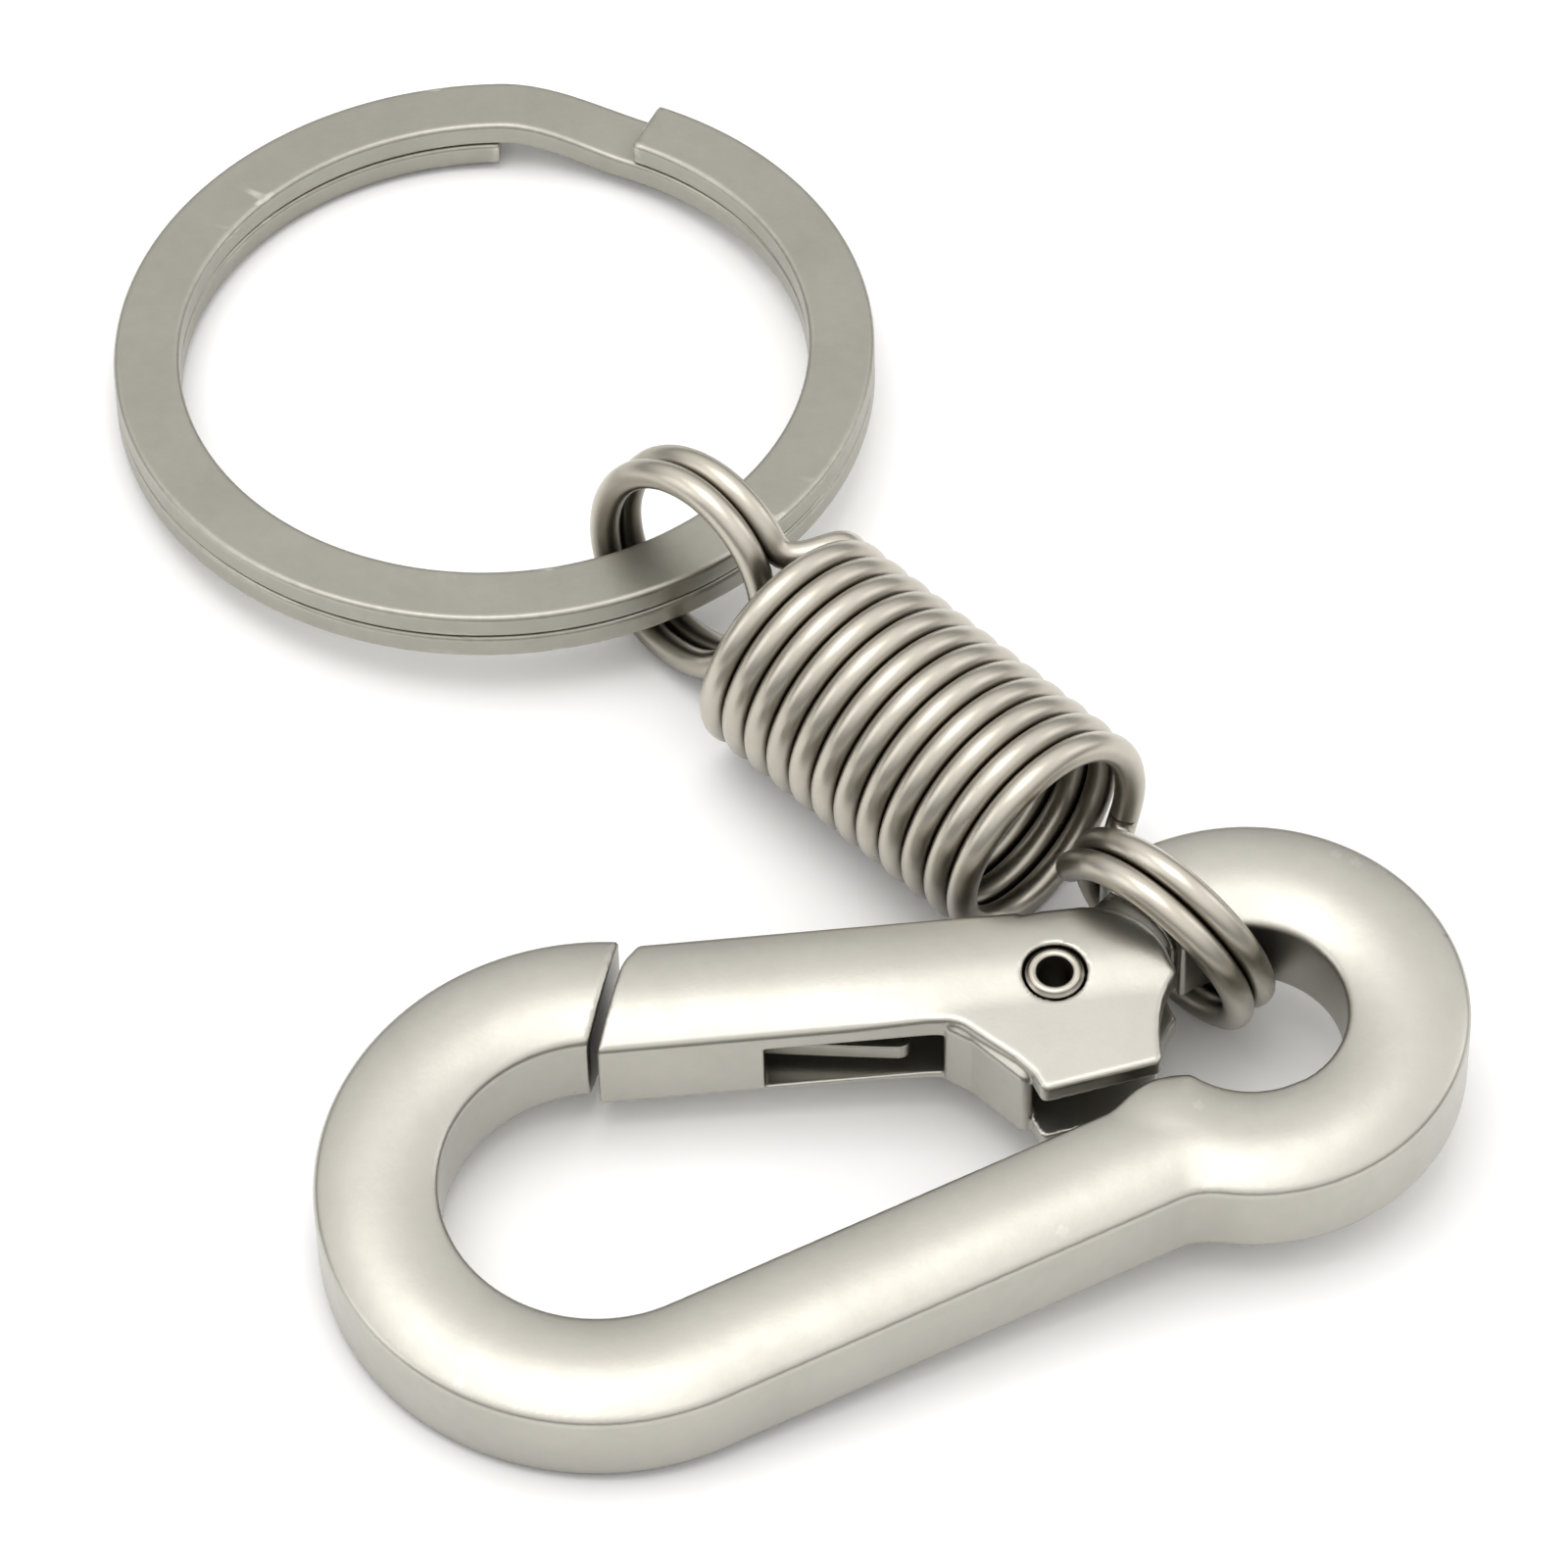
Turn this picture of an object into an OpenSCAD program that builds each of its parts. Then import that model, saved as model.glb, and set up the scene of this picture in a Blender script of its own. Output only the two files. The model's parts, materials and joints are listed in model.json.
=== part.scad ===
// Carabiner keyring: a flat split ring and a sprung snap hook, joined by a
// close-wound wire spring with a double loop at each end. It lies on a flat
// surface. Both rings rest on the loop wires that pass under them, so each
// of them is tilted by a few degrees.

/* [Split ring] */
// Outside diameter of the split ring
ring_od = 30; // [26:0.5:34]
// Width of the flat strip
strip_w = 2.6; // [2.2:0.1:3]
// Thickness of one layer of strip
strip_t = 1.04; // [0.9:0.02:1.2]
// Angle of the upper layer's square end, seen from the ring's centre
ring_end_dir = 67; // [0:1:180]
// Arc over which the strip drops from the upper to the lower layer
crossover_arc = 24; // [18:1:40]

/* [Spring link] */
// Diameter of the spring wire
wire_d = 1.17; // [1.0:0.01:1.18]
// Outside diameter of the coil
coil_od = 9.55; // [9.4:0.05:10]
// Distance between neighbouring turns
coil_pitch = 1.187; // [1.185:0.001:1.3]
// Whole turns in the coil
coil_turns = 12; // [8:1:16]
// Reach of the hook's loop: its centre beyond the coil's last turn
hook_loop_reach = 5.8; // [5.6:0.05:6.5]
// Mean radius of the hook's loop
hook_loop_r = 4.12; // [4.1:0.01:4.15]
// Sideways set of the hook's loop from the coil's axis
hook_loop_side = 0.2; // [0:0.1:0.8]
// Reach of the ring's loop: its centre beyond the coil's first turn
ring_loop_reach = 4.85; // [4.7:0.05:6]
// Mean radius of the ring's loop
ring_loop_r = 4.0; // [4:0.05:4.15]
// Twist of the hook's loop about the coil's axis
hook_loop_twist = 13.5; // [0:0.5:16]
// Twist of the ring's loop about the coil's axis
ring_loop_twist = 6.4; // [0:0.2:10]

/* [Hook frame] */
// Width of the hook's bar, seen from above
bar_w = 4.6; // [4.4:0.1:4.8]
// Thickness of the hook's bar at the crown of its domed faces
bar_t = 4.45; // [4.2:0.05:4.6]
// Rise of each domed face from its edges to its crown
dome_rise = 0.45; // [0.3:0.05:0.6]
// Inside radius of the hook's big end
big_r = 5.9; // [5.5:0.1:6.5]
// Inside radius of the hook's small eye
eye_r = 3.6; // [3.5:0.1:3.8]
// Distance between the centres of the two ends
hook_span = 25.1; // [24:0.1:27]
// Slope of the straight spine against the line through both centres
spine_slope = 9.8; // [9:0.1:11]
// Angle of the nose on the big end's arc
nose_dir = 75; // [72:1:78]
// Slant of the nose's end face against a radial cut
nose_slant = 15; // [10:1:18]

/* [Gate and rivet] */
// Thickness of each cheek of the gate
cheek_t = 0.9; // [0.8:0.05:1]
// Outside diameter of the tubular rivet
rivet_d = 2.0; // [1.8:0.1:2.2]
// Bore of the tubular rivet
rivet_bore = 1.4; // [1.2:0.1:1.5]
// Running clearance of the cheeks on the rivet, on radius
rivet_clear = 0.05; // [0.02:0.01:0.08]
// Thickness of the gate's leaf spring
leaf_t = 0.25; // [0.2:0.05:0.3]
// Gap between the nose and the gate's end
nose_gap = 0.4; // [0.3:0.05:0.6]

/* [Layout] */
// Heading of the coil's axis, from the ring to the hook
link_yaw = -42.6; // [-90:0.1:0]
// Direction from the ring's loop to the ring's centre, in the link's frame
ring_hang = 167; // [150:1:210]
// Offset of the ring's loop outwards from the middle of the strip
ring_set = 0.6; // [0:0.1:1.3]
// Direction from the eye's centre to the hook's loop, in the link's frame
eye_hang = 168; // [160:0.5:185]
// Offset of the hook's loop inwards from the middle of the eye's bar
eye_set = 0.4; // [0:0.05:0.6]
// Heading of the hook's centre line, in the link's frame
hook_yaw = 61.3; // [40:0.1:90]
// Height of the ring's underside where it rests on its loop
ring_lift = 2.35; // [2.3:0.05:2.5]
// Height of the hook's underside where its loop holds it
hook_lift = 2.45; // [2.4:0.05:2.5]

/* [Hidden] */
$fn = 96;
eps = 0.01;

// ring
ring_mid = ring_od/2 - strip_w/2;
layer_gap = 0.05;
ring_tilt = asin(ring_lift/(ring_od/2 + ring_mid));
lower_end_dir = ring_end_dir + crossover_arc + 1.5;
edge_r = 0.22;

// link
wire_r = wire_d/2;
coil_r = (coil_od - wire_d)/2;
axis_z = coil_od/2;
coil_end_dir = 112;
coil_start_dir = 180 - coil_end_dir;
turns = coil_turns + (coil_end_dir - coil_start_dir)/360;
half_coil = turns*coil_pitch/2;
loop_first = 42;
loop_last = 690;
hook_loop_x = half_coil + hook_loop_reach;
ring_loop_x = -half_coil - ring_loop_reach;
wire_sides = 8;

// hook, in its own plan frame: the eye's centre is the origin and the big
// end's centre is on -X
hook_mid = big_r + bar_w/2;
eye_mid = eye_r + bar_w/2;
big_c = [-hook_span, 0];
crown_r = (pow(bar_w/2, 2) + pow(dome_rise, 2))/(2*dome_rise);
pivot = [-6.48, 3.46];
spine_len = hook_span*cos(spine_slope) - 1;
shoulder_r = 4.85;
tongue_t = bar_t - 2*cheek_t - 0.5;
tongue_z = (bar_t - tongue_t)/2;
boss_r = 2.0;

// gate, in its own plan frame: the rivet's axis is the origin, +X runs to
// the nose and +Y to the inside of the hook
gate_dir = 168.6;
gate_w = 4.65;
gate_in = 1.6;
gate_out = gate_in - gate_w;
slot_end = 11;
cheek_drop = 0.15;

// layout in plan
function turned(p, a) = [p[0]*cos(a) - p[1]*sin(a), p[0]*sin(a) + p[1]*cos(a)];
function polar(r, a) = [r*cos(a), r*sin(a)];
hook_loop_at = [hook_loop_x, hook_loop_side];
hook_heading = link_yaw + hook_yaw;
ring_c = turned([ring_loop_x, 0] + polar(ring_mid + ring_set, ring_hang), link_yaw);
eye_c = turned(hook_loop_at - polar(eye_mid - eye_set, eye_hang), link_yaw);
hook_big_c = eye_c + turned(big_c, hook_heading);
// The hook rests on its big end, and its weight settles it along this heading
hook_rise_dir = 63;
hook_rise_run = (turned(hook_loop_at, link_yaw) - hook_big_c)*polar(1, hook_rise_dir);
hook_tilt = asin(hook_lift/(hook_mid + hook_rise_run));
hook_base = hook_mid*sin(hook_tilt) + crown_r*(1 - cos(hook_tilt));
left = ring_c[0] - ring_od/2;
right = eye_c[0] + eye_mid + bar_w/2;
back = ring_c[1] + ring_od/2;
front = hook_big_c[1] - hook_mid - bar_w/2;
centre = [(left + right)/2, (back + front)/2];

// ---------- placing ----------

// Lifts the side that lies towards heading dir by angle a
module tilted(dir, a) {
    rotate([0, 0, dir]) rotate([0, -a, 0]) rotate([0, 0, -dir]) children();
}

module at_link() {
    translate([-centre[0], -centre[1], axis_z]) rotate([0, 0, link_yaw]) children();
}

module at_ring() {
    translate([ring_c[0] - centre[0], ring_c[1] - centre[1], ring_od/2*sin(ring_tilt)])
        tilted(link_yaw + ring_hang + 180, ring_tilt) children();
}

module at_hook() {
    translate([hook_big_c[0] - centre[0], hook_big_c[1] - centre[1], hook_base])
        tilted(hook_rise_dir, hook_tilt) rotate([0, 0, hook_heading]) translate([hook_span, 0, 0]) children();
}

module at_gate() {
    at_hook() translate([pivot[0], pivot[1], 0]) rotate([0, 0, gate_dir]) children();
}

// ---------- wire ----------

function unit(v) = v/norm(v);
function heading(path, i) = unit(path[min(i + 1, len(path) - 1)] - path[max(i - 1, 0)]);
function across(v, t) = unit(v - (v*t)*t);

// Cross directions carried along the path without turning about it
function carried(path, v0) = [
    for (i = 0, v = across(v0, heading(path, 0)); i < len(path);
         i = i + 1, v = i < len(path) ? across(v, heading(path, i)) : v) v
];

// Round wire of radius r along a path of points
module wire(path, v0, r = wire_r) {
    n = wire_sides;
    frames = carried(path, v0);
    rings = [
        for (i = [0:len(path) - 1]) let (t = heading(path, i), u = frames[i], w = cross(t, u))
            for (k = [0:n - 1]) path[i] + r*(cos(360*k/n)*u + sin(360*k/n)*w)
    ];
    sides = [
        for (i = [0:len(path) - 2]) for (k = [0:n - 1])
            let (a = i*n + k, b = i*n + (k + 1) % n)
                [a, a + n, b + n, b]
    ];
    first = [for (k = [0:n - 1]) k];
    last = [for (k = [n - 1:-1:0]) (len(path) - 1)*n + k];
    polyhedron(points = rings, faces = concat([first], sides, [last]), convexity = 10);
}

// A point of the coil: angle a runs from +Z towards +Y, and x grows with it
function coil_point(a) = [
    coil_pitch*(a - coil_end_dir)/360 + half_coil, coil_r*sin(a), coil_r*cos(a)
];

// A point of a double loop: w runs from the loop's back, beside the coil, down
// and round its tip, and the two turns lie side by side
function loop_point(c, r, twist, w) =
    let (side = coil_pitch/2*(360 - w)/180,
         s = [0, cos(twist), sin(twist)],
         u = [0, -sin(twist), cos(twist)])
    c + r*(-cos(w)*[1, 0, 0] - sin(w)*u) + side*s;

// A smooth curve from p to q with the end headings tp and tq
function bridge(p, tp, q, tq, pull, n) = [
    for (i = [1:n - 1]) let (t = i/n, a = 1 - t)
        a*a*a*p + 3*a*a*t*(p + pull*tp) + 3*a*t*t*(q - pull*tq) + t*t*t*q
];

function loop_path(c, r, twist, p, tp) =
    let (q = loop_point(c, r, twist, loop_first),
         tq = unit(loop_point(c, r, twist, loop_first + 1) - q))
    concat([p, p + 0.03*tp], bridge(p, tp, q, tq, 1.5, 7),
           [for (w = [loop_first:18:loop_last]) loop_point(c, r, twist, w)]);

// Double loop at the end of the coil, drawn for the hook's end
module end_loop(reach, side, r, twist) {
    p = coil_point(coil_end_dir);
    along = unit(p - coil_point(coil_end_dir - 1));
    wire(loop_path([half_coil + reach, side, 0], r, twist, p, along), [1, 0, 0]);
}

module hook_loop() color("silver") at_link()
    end_loop(hook_loop_reach, hook_loop_side, hook_loop_r, hook_loop_twist);

// The ring's end is the hook's end turned half over about the Y axis
module ring_loop() color("silver") at_link() rotate([0, 180, 0])
    end_loop(ring_loop_reach, 0, ring_loop_r, ring_loop_twist);

module spring_coil() {
    steps = round(turns*18);
    first = coil_end_dir - 360*turns;
    path = concat([coil_point(first), coil_point(first + 0.5)],
                  [for (i = [1:steps - 1]) coil_point(first + 360*turns*i/steps)],
                  [coil_point(coil_end_dir - 0.5), coil_point(coil_end_dir)]);
    color("silver") at_link() wire(path, [1, 0, 0]);
}

// ---------- split ring ----------

// Strip section with eased corners, from its bottom inner corner
function strip_outline(e = edge_r, w = strip_w, t = strip_t) = [
    [e, 0], [w - e, 0], [w - e*0.3, e*0.3], [w, e], [w, t - e], [w - e*0.3, t - e*0.3],
    [w - e, t], [e, t], [e*0.3, t - e*0.3], [0, t - e], [0, e], [e*0.3, e*0.3]
];

module strip_arc(from, sweep, z) {
    translate([0, 0, z]) rotate_extrude(angle = sweep, start = from)
        translate([ring_od/2 - strip_w, 0]) polygon(strip_outline());
}

// The stretch of strip that drops from the upper layer to the lower one. It
// is a hair smaller than the arcs, and its level ends run into them.
module strip_crossover(from, sweep, z_from, z_to) {
    inset = 0.01;
    section = strip_outline(edge_r, strip_w - 2*inset, strip_t - 2*inset);
    lead = 1.2;
    steps = 12;
    n = len(section);
    points = [
        for (i = [0:steps])
            let (a = from - lead + (sweep + 2*lead)*i/steps,
                 f = max(0, min(1, (a - from)/sweep)),
                 z = z_from + (z_to - z_from)*(3*f*f - 2*f*f*f) + inset)
            for (s = section) let (r = ring_od/2 - strip_w + inset + s[0]) [r*cos(a), r*sin(a), z + s[1]]
    ];
    sides = [
        for (i = [0:steps - 1]) for (k = [0:n - 1])
            let (a = i*n + k, b = i*n + (k + 1) % n) [a, b, b + n, a + n]
    ];
    polyhedron(points = points, convexity = 4,
               faces = concat([[for (k = [n - 1:-1:0]) k]], sides, [[for (k = [0:n - 1]) steps*n + k]]));
}

module split_ring() {
    upper = strip_t + layer_gap;
    drop_from = ring_end_dir + 1;
    color("darkgray") at_ring() {
        strip_arc(drop_from + crossover_arc, 359 - crossover_arc, upper);
        strip_crossover(drop_from, crossover_arc, 0, upper);
        strip_arc(lower_end_dir - 360, 360 - lower_end_dir + drop_from, 0);
    }
}

// ---------- hook frame ----------

function dome(half, rise, n) =
    let (r = (half*half + rise*rise)/(2*rise), a = asin(half/r))
    [for (i = [0:n]) let (t = -a + 2*a*i/n) [r*sin(t), rise - r + r*cos(t)]];

// Section of a bar with flat sides and domed faces, centred across
module domed_section(w) {
    up = dome(w/2, dome_rise, 8);
    polygon(concat([for (p = up) [-p[0], bar_t - dome_rise + p[1]]],
                   [for (p = up) [p[0], dome_rise - p[1]]]));
}

module domed_arc(mid_r, from, sweep) {
    rotate_extrude(angle = sweep, start = from) translate([mid_r, 0]) domed_section(bar_w);
}

module domed_bar(w, length) {
    rotate([90, 0, 90]) linear_extrude(length) domed_section(w);
}

// Everything on the gate's side of the slanted nose cut
module nose_cut(gap) {
    translate([big_c[0], big_c[1], 0]) rotate([0, 0, nose_dir]) translate([hook_mid, 0, 0])
        rotate([0, 0, -nose_slant]) translate([-10, -12 - gap, -1]) cube([20, 12, bar_t + 2]);
}

module big_end() {
    difference() {
        translate([big_c[0], big_c[1], 0]) domed_arc(hook_mid, 60, 210 + spine_slope);
        nose_cut(0);
    }
}

module spine() {
    difference() {
        translate([big_c[0], big_c[1], 0]) rotate([0, 0, spine_slope]) translate([0, -hook_mid, 0])
            domed_bar(bar_w, spine_len);
        translate([0, 0, -1]) cylinder(r = eye_r, h = bar_t + 2);
    }
}

module eye() {
    difference() {
        domed_arc(eye_mid, 234, 248);
        translate([pivot[0], pivot[1], -1]) cylinder(r = shoulder_r, h = bar_t + 2);
    }
}

// Thin tongue between the gate's cheeks, with the rivet's boss and the heel
// that bends the leaf spring
module tongue() {
    translate([0, 0, tongue_z]) {
        rotate_extrude(angle = 60, start = 88) translate([eye_mid - 1.7, 0]) square([3.4, tongue_t]);
        translate([pivot[0], pivot[1], 0]) {
            cylinder(r = boss_r, h = tongue_t);
            rotate([0, 0, gate_dir]) linear_extrude(tongue_t)
                polygon([[1.2, -1.2], [2.9, 0.5], [2.6, 1.8], [0.2, 1.9]]);
        }
    }
}

module hook_frame() {
    color("lightgray") at_hook() difference() {
        union() {
            big_end();
            spine();
            eye();
            tongue();
        }
        translate([pivot[0], pivot[1], 0]) cylinder(d = rivet_d, h = bar_t);
    }
}

// ---------- rivet, gate and leaf spring ----------

module rivet() {
    proud = 0.05;
    color("gainsboro") at_hook() translate([pivot[0], pivot[1], cheek_drop - proud])
        difference() {
            cylinder(d = rivet_d, h = bar_t - 2*cheek_drop + 2*proud);
            translate([0, 0, -1]) cylinder(d = rivet_bore, h = bar_t + 2);
        }
}

function arc(c, r, a, b, n) = [for (i = [0:n]) c + polar(r, a + (b - a)*i/n)];

// Plan outline of one cheek at the rivet's end, with the edge that closes
// the small eye
module cheek_outline() {
    lobe_edge = [[1.2, 5.1], [-3.45, 4.2]];
    polygon(concat(
        [[6, gate_in - 0.05]],
        arc([5.2, 3.35], 1.9, 250, 200, 5),
        lobe_edge,
        [[-3.52, 3.6], [-3.6, 2.9], [-3.68, 2.2], [-3.85, 1.5], [-4.1, 0.9], [-4.3, 0.5]],
        arc([-0.9, 0.4], 3.4, 190, 262, 8),
        [[0, gate_out + 0.05], [6, gate_out + 0.05]]
    ));
}

module cheek(z) {
    translate([0, 0, z]) linear_extrude(cheek_t) cheek_outline();
}

// Web that joins the cheeks along the lobe's flank
module lobe_web() {
    translate([0, 0, cheek_drop + eps]) linear_extrude(bar_t - 2*cheek_drop - 2*eps)
        polygon(concat(arc([5.2, 3.35], 1.9, 236, 200, 4), [[1.75, 4.6], [1.25, 4.5]],
                       arc([5.2, 3.35], 2.5, 202, 236, 4)));
}

// The gate's bar: a channel from the rivet to the slot's end, solid at the nose
module gate_bar() {
    difference() {
        translate([0.9, (gate_in + gate_out)/2, 0]) domed_bar(gate_w, 17.5);
        translate([-1, gate_out + 0.8, cheek_drop + cheek_t])
            cube([slot_end + 1, gate_w, bar_t - 2*cheek_drop - 2*cheek_t]);
        gate_nose_cut();
    }
}

// The nose's slanted cut, seen from the gate, with the chamfer at its outer corner
module gate_nose_cut() {
    rotate([0, 0, -gate_dir]) translate([-pivot[0], -pivot[1], 0]) difference() {
        translate([-hook_span - 10, -4, -1]) cube([hook_span, 24, bar_t + 2]);
        nose_cut(nose_gap);
    }
    translate([15.97, -2.09, -1]) rotate([0, 0, 127.5]) mirror([1, 0, 0]) cube([4, 4, bar_t + 2]);
}

module gate() {
    color("lightgray") at_gate() difference() {
        union() {
            gate_bar();
            cheek(cheek_drop);
            cheek(bar_t - cheek_drop - cheek_t);
            lobe_web();
        }
        translate([0, 0, -1]) cylinder(r = rivet_d/2 + rivet_clear, h = bar_t + 2);
        for (z = [-1, bar_t - cheek_drop - 0.4]) translate([0, 0, z])
            cylinder(r = rivet_d/2 + 0.28, h = cheek_drop + 1.4);
    }
}

// Flat leaf, held in the nose block, with a curled free end
module gate_spring() {
    leaf_w = bar_t - 2*cheek_drop - 2*cheek_t - 0.2;
    mid = concat([[12.2, 1.0], [11, 1.02], [9, 1.1], [7, 1.14], [5.9, 1.1]],
                 arc([5.85, 0.55], 0.55, 90, 190, 6));
    n = len(mid);
    side = [for (i = [0:n - 1])
        let (t = unit(mid[min(i + 1, n - 1)] - mid[max(i - 1, 0)])) leaf_t/2*[-t[1], t[0]]];
    color("gray") at_gate() translate([0, 0, (bar_t - leaf_w)/2]) linear_extrude(leaf_w)
        polygon(concat([for (i = [0:n - 1]) mid[i] + side[i]], [for (i = [n - 1:-1:0]) mid[i] - side[i]]));
}

hook_frame();
rivet();
gate();
gate_spring();
hook_loop();
spring_coil();
ring_loop();
split_ring();
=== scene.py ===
"""Carabiner keyring: the visual model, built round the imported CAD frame.

All sizes in the classes are in millimetres. Meshes are written in metres, in the row frame.
"""

import json
import logging
import math
from dataclasses import dataclass, field
from enum import Enum
from typing import Callable

import bpy
import numpy as np
from mathutils import Matrix, Vector


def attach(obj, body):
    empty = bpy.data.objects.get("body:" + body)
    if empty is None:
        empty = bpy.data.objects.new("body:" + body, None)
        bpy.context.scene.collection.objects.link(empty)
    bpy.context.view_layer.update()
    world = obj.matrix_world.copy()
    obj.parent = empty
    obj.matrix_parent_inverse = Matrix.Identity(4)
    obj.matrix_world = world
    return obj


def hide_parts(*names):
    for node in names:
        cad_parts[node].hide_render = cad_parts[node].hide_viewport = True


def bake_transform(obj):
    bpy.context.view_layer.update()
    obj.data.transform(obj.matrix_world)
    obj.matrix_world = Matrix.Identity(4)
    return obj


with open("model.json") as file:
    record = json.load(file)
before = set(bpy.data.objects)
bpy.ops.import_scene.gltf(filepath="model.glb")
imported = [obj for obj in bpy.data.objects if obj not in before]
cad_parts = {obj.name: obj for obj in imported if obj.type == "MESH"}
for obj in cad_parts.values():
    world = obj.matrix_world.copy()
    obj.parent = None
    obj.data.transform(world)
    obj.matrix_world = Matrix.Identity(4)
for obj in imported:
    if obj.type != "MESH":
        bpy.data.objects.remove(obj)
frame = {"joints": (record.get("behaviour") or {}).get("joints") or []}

MM = 0.001
EDGE_BAND = 0.1  # width of the band beside an eased corner, mm
Array = np.ndarray
Field = Callable[[Array], Array]

log = logging.getLogger("carabiner_keyring")


class Slot(Enum):
    """The record's material slots that the pieces take their finishes from."""

    HOOK = "hook_nickel"
    RIVET = "rivet_steel"
    LEAF = "leaf_steel"
    WIRE = "spring_wire"
    RING = "ring_steel"


class Body(Enum):
    """The CAD bodies that the pieces ride on."""

    ROOT = "root"
    GATE = "gate"
    HOOK_LOOP = "hook_loop"
    RING_LOOP = "ring_loop"
    SPLIT_RING = "split_ring"


# ---------------------------------------------------------------- placing


@dataclass(frozen=True)
class Pose:
    """A local frame: a turn followed by a shift, in millimetres of the row frame."""

    turn: Array
    shift: Array

    def place(self, points: Array) -> Array:
        """Local points to the row frame, still in millimetres."""
        return points @ self.turn.T + self.shift


def turn_z(angle: float) -> Array:
    """The matrix that turns by an angle in degrees about +Z."""
    c, s = math.cos(math.radians(angle)), math.sin(math.radians(angle))
    return np.array([[c, -s, 0.0], [s, c, 0.0], [0.0, 0.0, 1.0]])


def tilt_to(up: Array) -> Array:
    """The smallest turn that takes +Z to a unit vector: about the level axis at right angles to it."""
    lean = math.degrees(math.atan2(up[1], up[0]))
    c, s = up[2], math.hypot(up[0], up[1])
    tip = np.array([[c, 0.0, s], [0.0, 1.0, 0.0], [-s, 0.0, c]])
    return turn_z(lean) @ tip @ turn_z(-lean)


def joint(name: str) -> dict:
    """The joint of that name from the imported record."""
    return next(j for j in frame["joints"] if j["name"] == name)


def joint_point(name: str) -> Array:
    """A joint's position in millimetres."""
    return np.array(joint(name)["pos_m"]) / MM


def joint_axis(name: str) -> Array:
    """A joint's axis as a unit vector."""
    axis = np.array(joint(name)["axis"], float)
    return axis / np.linalg.norm(axis)


# ---------------------------------------------------------------- meshes


def new_piece(name: str, points: Array, faces: list, uv: Array | None = None) -> bpy.types.Object:
    """Makes a smooth-shaded mesh object at the origin.

    Args:
        name: the piece's name.
        points: its vertices in millimetres of the row frame, one per row.
        faces: lists of three or four vertex numbers, anticlockwise from outside.
        uv: one texture coordinate per vertex, where the finish follows the surface.

    Returns:
        The linked object.
    """
    mesh = bpy.data.meshes.new(name)
    mesh.from_pydata((points * MM).tolist(), [], faces)
    if uv is not None:
        layer = mesh.uv_layers.new(name="along_wire")
        corner = np.empty(len(mesh.loops), np.int32)
        mesh.loops.foreach_get("vertex_index", corner)
        layer.data.foreach_set("uv", uv[corner].astype(np.float32).ravel())
    mesh.shade_smooth()
    mesh.validate()
    piece = bpy.data.objects.new(name, mesh)
    bpy.context.scene.collection.objects.link(piece)
    return piece


def unit(v: Array) -> Array:
    """Rows scaled to length one."""
    return v / np.maximum(np.linalg.norm(v, axis=-1, keepdims=True), 1e-12)


def grid_faces(rows: int, columns: int) -> Array:
    """Quads of a grid of points whose columns close on themselves."""
    i, k = np.meshgrid(np.arange(rows - 1), np.arange(columns), indexing="ij")
    a, b = i * columns + k, i * columns + (k + 1) % columns
    return np.stack([a, b, b + columns, a + columns], -1).reshape(-1, 4)


def fan_faces(ring: Array, centre: int) -> Array:
    """Triangles from a closed ring of vertex numbers to a centre vertex."""
    return np.stack([ring, np.roll(ring, -1), np.full_like(ring, centre)], -1)


def sweep(path: Array, side: Array, section: Array, scale: Array | None = None) -> tuple[list, Array]:
    """Carries a closed section along a path: point(i, k) = path_i + s_i (x_k U_i + y_k W_i).

    Args:
        path: the stations, one per row.
        side: a direction at each station that the section's x axis leans to.
        section: the section's points, anticlockwise about the path's heading.
        scale: the section's scale at each station, or None for 1.

    Returns:
        The faces as lists of vertex numbers, and the points. Both ends are closed by fans.
    """
    heading = unit(np.gradient(path, axis=0))
    u = unit(side - (side * heading).sum(-1, keepdims=True) * heading)
    w = np.cross(heading, u)
    s = np.ones(len(path)) if scale is None else scale
    x, y = (s[:, None] * section[:, 0])[..., None], (s[:, None] * section[:, 1])[..., None]
    points = (path[:, None] + x * u[:, None] + y * w[:, None]).reshape(-1, 3)
    n = len(section)
    faces = grid_faces(len(path), n).tolist()
    first, last = np.arange(n)[::-1], (len(path) - 1) * n + np.arange(n)
    ends = [fan_faces(first, len(points)), fan_faces(last, len(points) + 1)]
    points = np.vstack([points, path[:1], path[-1:]])
    return faces + [f for e in ends for f in e.tolist()], points


def sweep_uv(path: Array, sides: int) -> Array:
    """Texture coordinates of a sweep: centimetres along the path, and the share of the way round."""
    along = np.concatenate([[0.0], np.cumsum(np.linalg.norm(np.diff(path, axis=0), axis=1))]) / 10
    round_it = np.arange(sides) / sides
    grid = np.stack(np.meshgrid(along, round_it, indexing="ij"), -1).reshape(-1, 2)
    return np.vstack([grid, [[along[0], 0.5]], [[along[-1], 0.5]]])


def round_section(radius: float, sides: int) -> Array:
    """A circle's points."""
    a = np.linspace(0, 2 * np.pi, sides, endpoint=False)
    return radius * np.stack([np.cos(a), np.sin(a)], -1)


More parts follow.
